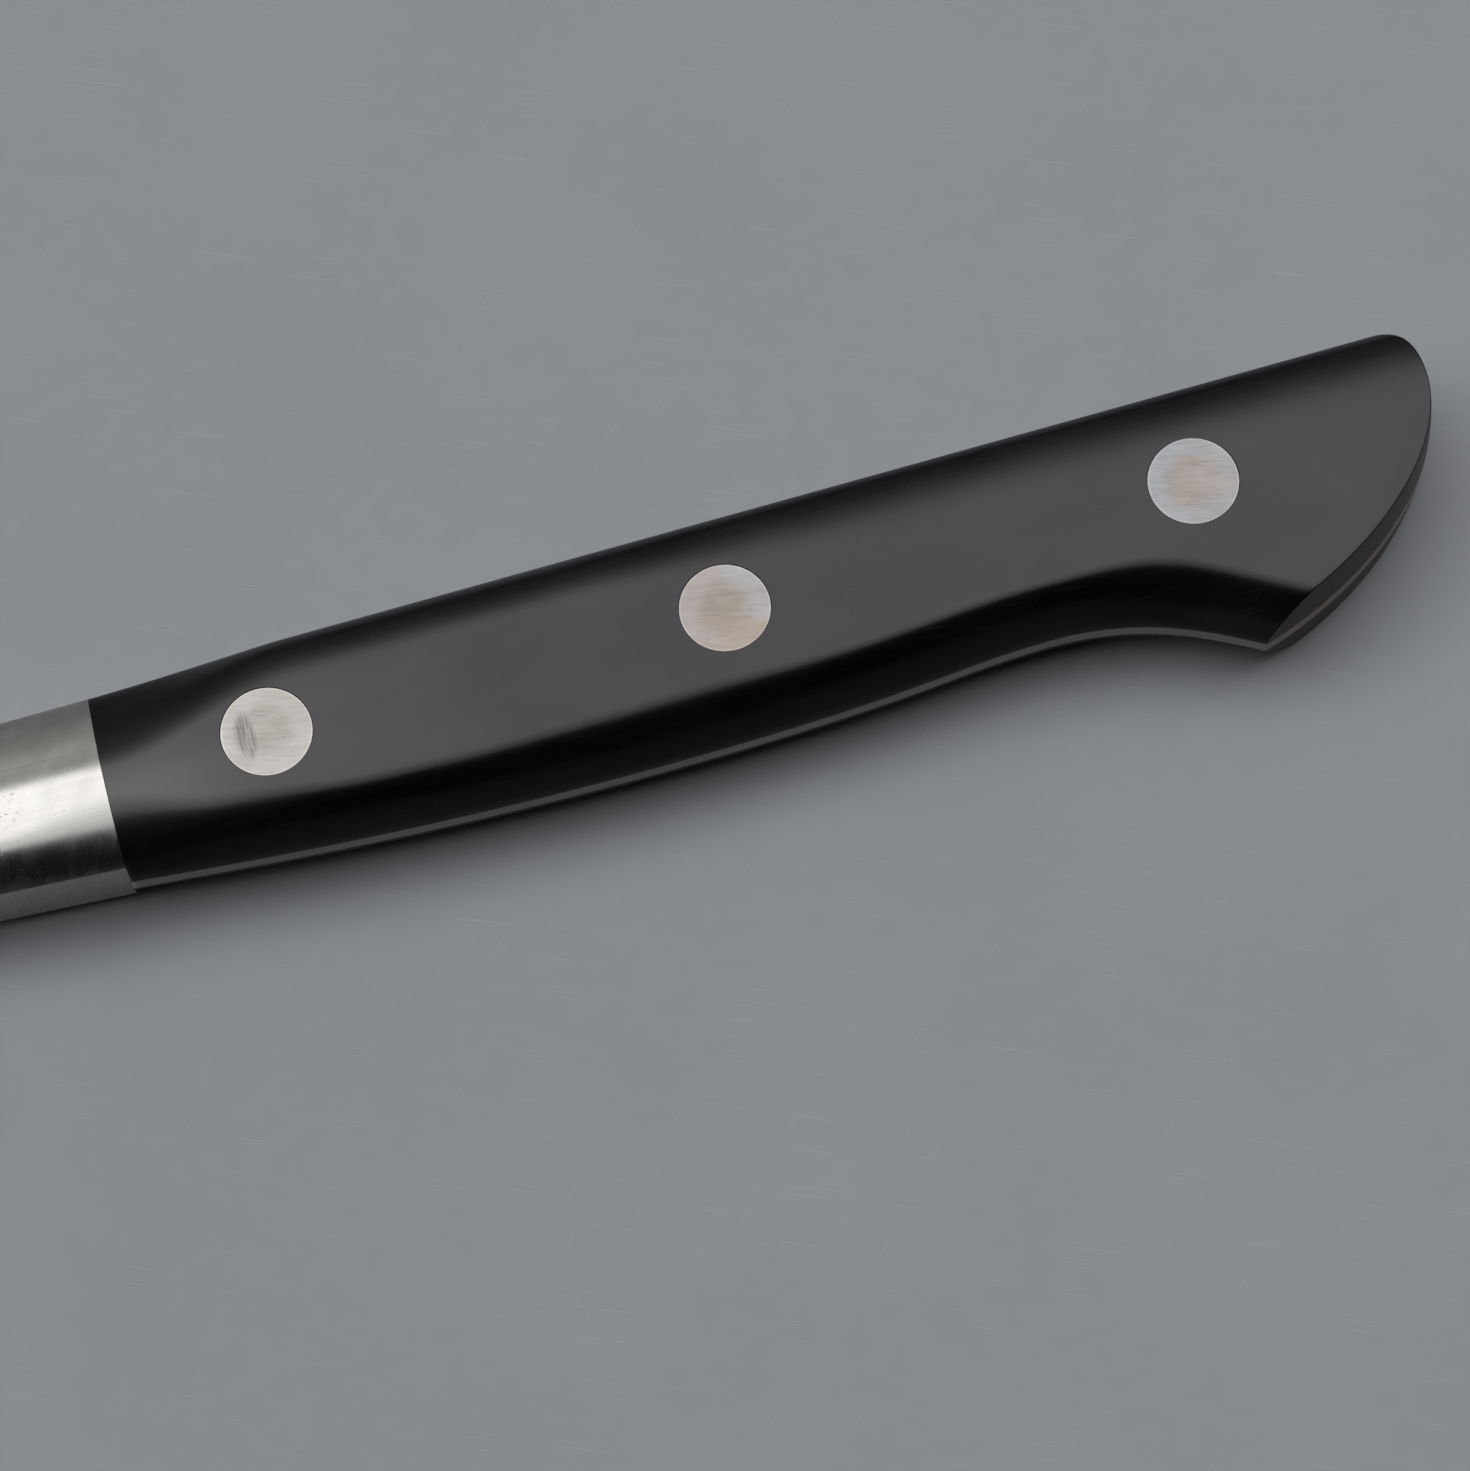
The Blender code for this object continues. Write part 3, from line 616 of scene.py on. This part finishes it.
def bolsterGrids():
    # Section of the joint carried forward, its height scaled as the underside rises; its thickness is scaled down
    # by a circular cove that runs out on the blade, with the apex softened by a log-sum of cove and full thickness.
    b = bolster
    under = handle["front"][1] + b["underStep"]
    downRound = np.linspace(1, 0, b["roundLines"])
    spineRound = roundCurve(handle["spine"][0][1], np.linspace(0, 1, b["roundLines"] + 1))
    bellyRound = cubic(b["belly"], downRound)
    spineSide = np.stack([-spineRound[:, 0], handle["half"] - spineRound[:, 1]], 1)
    bellySide = np.stack([under + bellyRound[:, 0], handle["half"] - bellyRound[:, 1]], 1)
    flat = np.linspace(b["innerFlat"], 1, 8)[:-1, None]
    spineFlat = np.stack([0 * flat, spineSide[0, 1] * flat], -1)[:, 0]
    underFlat = np.stack([under + 0 * flat, bellySide[-1, 1] * flat], -1)[::-1, 0]
    chain = np.vstack([spineFlat, spineSide, bellySide, underFlat])
    x = -np.concatenate([np.linspace(0, b["straight"], 20), np.linspace(b["straight"], b["length"], b["rows"])[1:]])
    drop = handle["half"] - b["frontHalf"]
    cove = (b["ramp"] ** 2 + drop ** 2) / (2 * drop)
    reach = np.clip(x + b["length"], 0, cove)
    rise = (b["frontHalf"] + cove - np.sqrt(cove ** 2 - reach ** 2)) / handle["half"]
    share = -b["apexRound"] * np.log(np.exp(-1 / b["apexRound"]) + np.exp(-rise / b["apexRound"]))
    narrow = 1 - b["underSlope"] * x / under
    closer = np.zeros(len(chain))  # forward, the belly round draws closer to the underside
    firstBelly = len(spineFlat) + len(spineSide)
    closer[firstBelly:firstBelly + len(bellySide)] = (cubic(b["bellyFront"], downRound) - bellyRound)[:, 0]
    y = (chain[:, 0] + ease(-x / b["roundFade"])[:, None] * closer) * narrow[:, None]
    z = chain[:, 1] * share[:, None]
    lean = handle["jointLean"] * np.clip(1 + x / b["straight"], 0, 1)
    gap = -handle["jointGap"] * (x == 0)
    left = np.stack([x[:, None] + gap[:, None] + lean[:, None] * y, y, z], -1)
    right = left * (1, 1, -1)
    ring = np.concatenate([left, right[:, ::-1], left[:, :1]], 1)
    return [ring, np.stack([left[0], right[0]]), np.stack([left[-1], right[-1]])]


def neckGrids():  # box a hair wider than the neck, cut right through the bolster
    top, bottom = bolster["neckTop"] + bolster["neckRoom"], bolster["neckBottom"] - bolster["neckRoom"]
    y = np.array((top, top, bottom, bottom, top))
    z = np.array((-1, 1, 1, -1, -1)) * bolster["neckHalf"]
    ring = np.stack([np.stack([np.full(5, x), y, z], -1) for x in (-25.0, 8.0)])
    ends = [np.stack([row[[0, 1]], row[[3, 2]]]) for row in ring]
    return [ring, *ends]


blade = {
    "length": 150.0, "heel": -21.5, "height": 28.0, "neckFront": -17.52, "underNeck": -13.24, "choil": 5.0,
    "spineThick": 1.8, "tipThick": 0.7, "taper": 1.5, "bevel": 0.9, "bevelThick": 0.36, "edgeThick": 0.05,
    "spineChamfer": 0.12, "tangHalf": 0.8, "tangChamfer": 0.05, "tipDrop": 8.5, "tipWidth": 0.5,
    "spineReach": 42.0, "spineSweep": 1.2, "edgeReach": 36.0, "edgeSweep": 3.5, "straight": 50, "root": -17.7,
    "runOut": 4.0, "leanFade": 4, "buttShare": 0.998,
}
tipX = blade["heel"] - blade["length"]


def bladeLines():  # spine and cutting edge, each one cubic from behind the heel to where they meet, just past the tip
    b = blade
    meet = (tipX - b["tipWidth"], -b["tipDrop"])
    t = np.linspace(1, 0, 400)
    spine = cubic(((b["root"], 0), (b["heel"] - b["straight"], 0),
                   (meet[0] + b["spineReach"], -b["spineSweep"]), meet), t)
    edge = cubic(((b["root"], -b["height"]), (b["heel"] - b["straight"], -b["height"]),
                  (meet[0] + b["edgeReach"], b["edgeSweep"] - b["height"]), meet), t)
    return spine, edge


spinePath, edgePath = bladeLines()


def spineAt(x):
    return np.interp(x, spinePath[:, 0], spinePath[:, 1])


def edgeAt(x):
    return np.interp(x, edgePath[:, 0], edgePath[:, 1])


def bladeHalf(x, y):
    # Half thickness: straight from the spine to the top of the edge bevel, then straight to the edge. The spine thins
    # with distance from the heel to the power taper, and the grind runs out in an ease behind the heel.
    top, bottom = spineAt(x), edgeAt(x)
    far = np.clip((blade["heel"] - x) / blade["length"], 0, 1) ** blade["taper"]
    thick = blade["spineThick"] + (blade["tipThick"] - blade["spineThick"]) * far
    ground = ease((blade["root"] - x) / blade["runOut"])
    low = blade["spineThick"] + (blade["bevelThick"] - blade["spineThick"]) * ground
    bevel = np.minimum(blade["bevel"], (top - bottom) / 4)
    down = np.clip((top - y) / (top - bottom - bevel), 0, 1)
    out = np.clip((bottom + bevel - y) / bevel, 0, 1)
    wedge = thick + (low - thick) * down
    return (wedge + (blade["edgeThick"] - wedge) * out) / 2


def pathByLength(points, share):  # points along a polyline at shares of its length
    walked = np.concatenate([[0], np.cumsum(np.linalg.norm(np.diff(points, axis=0), axis=1))])
    return np.stack([np.interp(share * walked[-1], walked, points[:, k]) for k in (0, 1)], 1)


def bladeRows():
    # Upper and lower end of every cross line: upright from the tip to the heel, over the choil and along neck and
    # tang, and fanned round the butt. Also the number of the first line over the choil and of the first on the neck.
    b = blade
    x = tipX + b["length"] * np.linspace(0, 1, 170) ** 1.25
    body = np.stack([x, spineAt(x), x, edgeAt(x)], 1)
    arc = np.linspace(np.pi, np.pi / 2, 60)
    choilX = b["heel"] + b["choil"] * (1 + np.cos(arc))
    choilY = b["underNeck"] + b["choil"] * (np.sin(arc) - 1)
    x = np.append(choilX[choilX < b["neckFront"]], b["neckFront"])
    heel = np.stack([x, spineAt(x), x, np.interp(x, choilX, choilY)], 1)
    neckEnds = (b["neckFront"], -handle["jointGap"])
    neck = np.array([[x, bolster["neckTop"], x, bolster["neckBottom"]] for x in neckEnds])
    x = np.linspace(handle["jointGap"], handle["hook"][0], 200)
    lean = handle["jointLean"] * np.clip(1 - x / b["leanFade"], 0, 1)
    tang = np.stack([x, 0 * x, x + lean * bellyAt(x), bellyAt(x)], 1)
    top = buttPath[buttPath[:, 1] > handle["butt"][1][1]][::-1]
    top = np.vstack([[handle["hook"][0], 0], top[top[:, 1] < 0]])
    bottom = buttPath[buttPath[:, 1] <= handle["butt"][1][1]]
    share = np.linspace(0, b["buttShare"], 90)[1:]
    butt = np.hstack([pathByLength(top, share), pathByLength(bottom, share)])
    return np.vstack([body, heel, neck, tang, butt]), len(body), len(body) + len(heel)


def bladeGrids():
    # Both sides as one grid each: a point of a cross line lies at its share of the way down, at the half thickness
    # there, and both ends of the line are closed on the mid-plane. The spine and the tang have a small chamfer.
    rows, choilStart, neckStart = bladeRows()
    isTang = np.arange(len(rows)) >= neckStart
    upper, lower = rows[:, None, :2], rows[:, None, 2:]
    height = np.linalg.norm(lower - upper, axis=-1)
    chamfer = np.where(isTang, blade["tangChamfer"], blade["spineChamfer"])[:, None]
    chamfer = np.minimum(chamfer, 0.2 * height)
    bevel = np.where(isTang[:, None], 2 * chamfer, np.minimum(blade["bevel"], height / 4))
    first = chamfer / height
    last = 1 - bevel / height
    side = first + (last - first) * np.linspace(0, 1, 30)
    half = np.where(isTang[:, None], 1 - chamfer / height, (last + 1) / 2)
    ends = np.ones_like(height)
    down = np.hstack([0 * ends, 0 * ends, side, half, ends, ends])
    overChoil = slice(choilStart, neckStart)  # these lines keep the heel's heights down to the choil
    heelHeights = upper[choilStart - 1, 0, 1] - height[choilStart - 1] * down[choilStart - 1]
    down[overChoil] = np.minimum((upper[overChoil, :, 1] - heelHeights) / height[overChoil], 1)
    xy = upper * (1 - down[..., None]) + lower * down[..., None]
    z = np.where(isTang[:, None], blade["tangHalf"], bladeHalf(xy[..., 0], xy[..., 1]))
    z[:, 1] -= chamfer[:, 0]
    z[:, -2] -= np.where(isTang, chamfer[:, 0], 0)
    z[:, [0, -1]] = 0
    left = np.concatenate([xy, z[..., None]], -1)
    right = left * (1, 1, -1)
    return [left, right, np.stack([left[0], right[0]]), np.stack([left[-1], right[-1]])]


black = makeBlack()
print("finishes: black handle")
holeCutter = addPiece("hole_cutter", holeGrids(), None, None, ())
neckCutter = addPiece("neck_cutter", neckGrids(), None, None, ())
slab = slabGrids()
mirrored = [grid * (1, 1, -1) for grid in slab]
addPiece("slab_left", slab, black, "handle_black", ("handle_scale_left",), 28, (holeCutter,))
addPiece("slab_right", mirrored, black, "handle_black", ("handle_scale_right",), 28, (holeCutter,))
addPiece("blade_and_tang", bladeGrids(), makeBladeSteel(), "blade_steel", ("blade",), 12, (holeCutter,))
addPiece("bolster_welded", bolsterGrids(), makeBolsterSteel(), "bolster_steel", ("bolster_left", "bolster_right"), 22,
         (neckCutter,))
for rivetName, (rivetX, rivetY) in rivets["places"].items():
    steel = makeRivetSteel(rivetName, rivetX, rivetY)
    stem = "rivet_" + rivetName
    addPiece(stem + "_head", [studGrid(rivetX, rivetY)], steel, "rivet_steel", (stem + "_stud",))
    addPiece(stem + "_back", [sleeveGrid(rivetX, rivetY)], steel, "rivet_steel", (stem + "_sleeve",))
for cutter in (holeCutter, neckCutter):
    bpy.data.objects.remove(cutter)
print("pieces done")

floorLook = {"size": 14.0, "below": 2e-5, "tone": rgb(0.301, 0.316, 0.339), "shade": rgb(0.284, 0.298, 0.320),
             "scratch": rgb(0.5, 0.51, 0.52), "rough": 0.75}


def makeFloor():
    s, z = floorLook["size"] / 2, -floorLook["below"]
    mesh = bpy.data.meshes.new("floor")
    mesh.from_pydata([(-s, -s, z), (s, -s, z), (s, s, z), (-s, s, z)], [], [(0, 1, 2, 3)])
    floor = bpy.data.objects.new("floor", mesh)
    scene.collection.objects.link(floor)
    f = Finish("floor_grey")
    mottle = f.noise((0.05, 0.05, 0.05), 3.0) * 0.7 + f.noise((0.6, 0.6, 0.6), 2.0) * 0.3
    base = mottle.step(0.3, 0.7).tint(floorLook["shade"], floorLook["tone"])
    scratch = f.marks(-24, 7.0, 0.12, 0.74).most(f.marks(41, 4.0, 0.1, 0.77, (6.0, 3.0, 0.0)))
    base = (scratch * 0.22).tint(base, floorLook["scratch"])
    f.set(Base_Color=base, Roughness=floorLook["rough"])
    mesh.materials.append(f.material)


# Soft light overhead: overlapping panels, brightest a little behind the spine and fading out further back. Each has
# its two edges in degrees from upright, the cutting-edge side being negative, and its radiance.
studio = {
    "height": 2.5, "halfLength": 4.0, "centre": 0.08, "apart": 0.01,
    "panels": ((-13.5, 38.0, 1.25), (5.0, 36.0, 0.5), (14.0, 34.0, 0.64), (38.0, 50.0, 0.5), (50.0, 74.0, 0.13)),
    "dark": 0.005, "low": 0.038, "high": 0.07, "ends": 0.13, "tone": rgb(1.0, 0.97, 0.94),
}


def makeStudio():
    for number, (nearAngle, farAngle, radiance) in enumerate(studio["panels"]):
        near, far = (float(v) * studio["height"] for v in np.tan(np.radians((nearAngle, farAngle))))
        lamp = bpy.data.lights.new("overhead_panel", 'AREA')
        lamp.shape = 'RECTANGLE'
        lamp.size = 2 * studio["halfLength"]
        lamp.size_y = far - near
        lamp.energy = float(radiance * np.pi * lamp.size * lamp.size_y)
        panel = bpy.data.objects.new("overhead_panel", lamp)
        panel.location = (studio["centre"], (far + near) / 2, studio["height"] + studio["apart"] * number)
        scene.collection.objects.link(panel)
    world = bpy.data.worlds.new("dim_room")
    scene.world = world
    world.use_nodes = True
    w = Wire(world.node_tree)
    direction = w.node("ShaderNodeTexCoord")
    lengthwise, toSpine, upward = (w.node("ShaderNodeSeparateXYZ", None, {0: direction}, k) for k in range(3))
    glow = studio["low"] + upward.step(0.0, 0.85) * (studio["high"] - studio["low"])
    ends = (lengthwise * lengthwise).step(0.2, 0.55) * upward.step(0.8, 0.4)  # low glow off both ends of the knife
    level = studio["dark"] + toSpine.step(-0.05, 0.35) * glow + ends * studio["ends"]
    background = world.node_tree.nodes["Background"]
    background.inputs["Color"].default_value = studio["tone"]
    world.node_tree.links.new(level.socket, background.inputs["Strength"])


view = {
    "place": (0.05242, -0.13832, 0.42101), "right": (0.96092, -0.27548, -0.02729), "up": (0.26979, 0.90981, 0.31537),
    "back": (-0.06206, -0.31041, 0.94858), "lens": 140.0, "sensor": 36.0, "nearest": 0.01,
}


def makeCamera():
    lens = bpy.data.cameras.new("view")
    lens.lens = view["lens"]
    lens.sensor_width = view["sensor"]
    lens.clip_start = view["nearest"]
    camera = bpy.data.objects.new("view", lens)
    rows = zip(view["right"], view["up"], view["back"], view["place"])
    camera.matrix_world = Matrix([*rows, (0, 0, 0, 1)])
    scene.collection.objects.link(camera)
    scene.camera = camera


makeFloor()
makeStudio()
makeCamera()
scene.view_settings.view_transform = 'Standard'
print("floor, light and camera done")
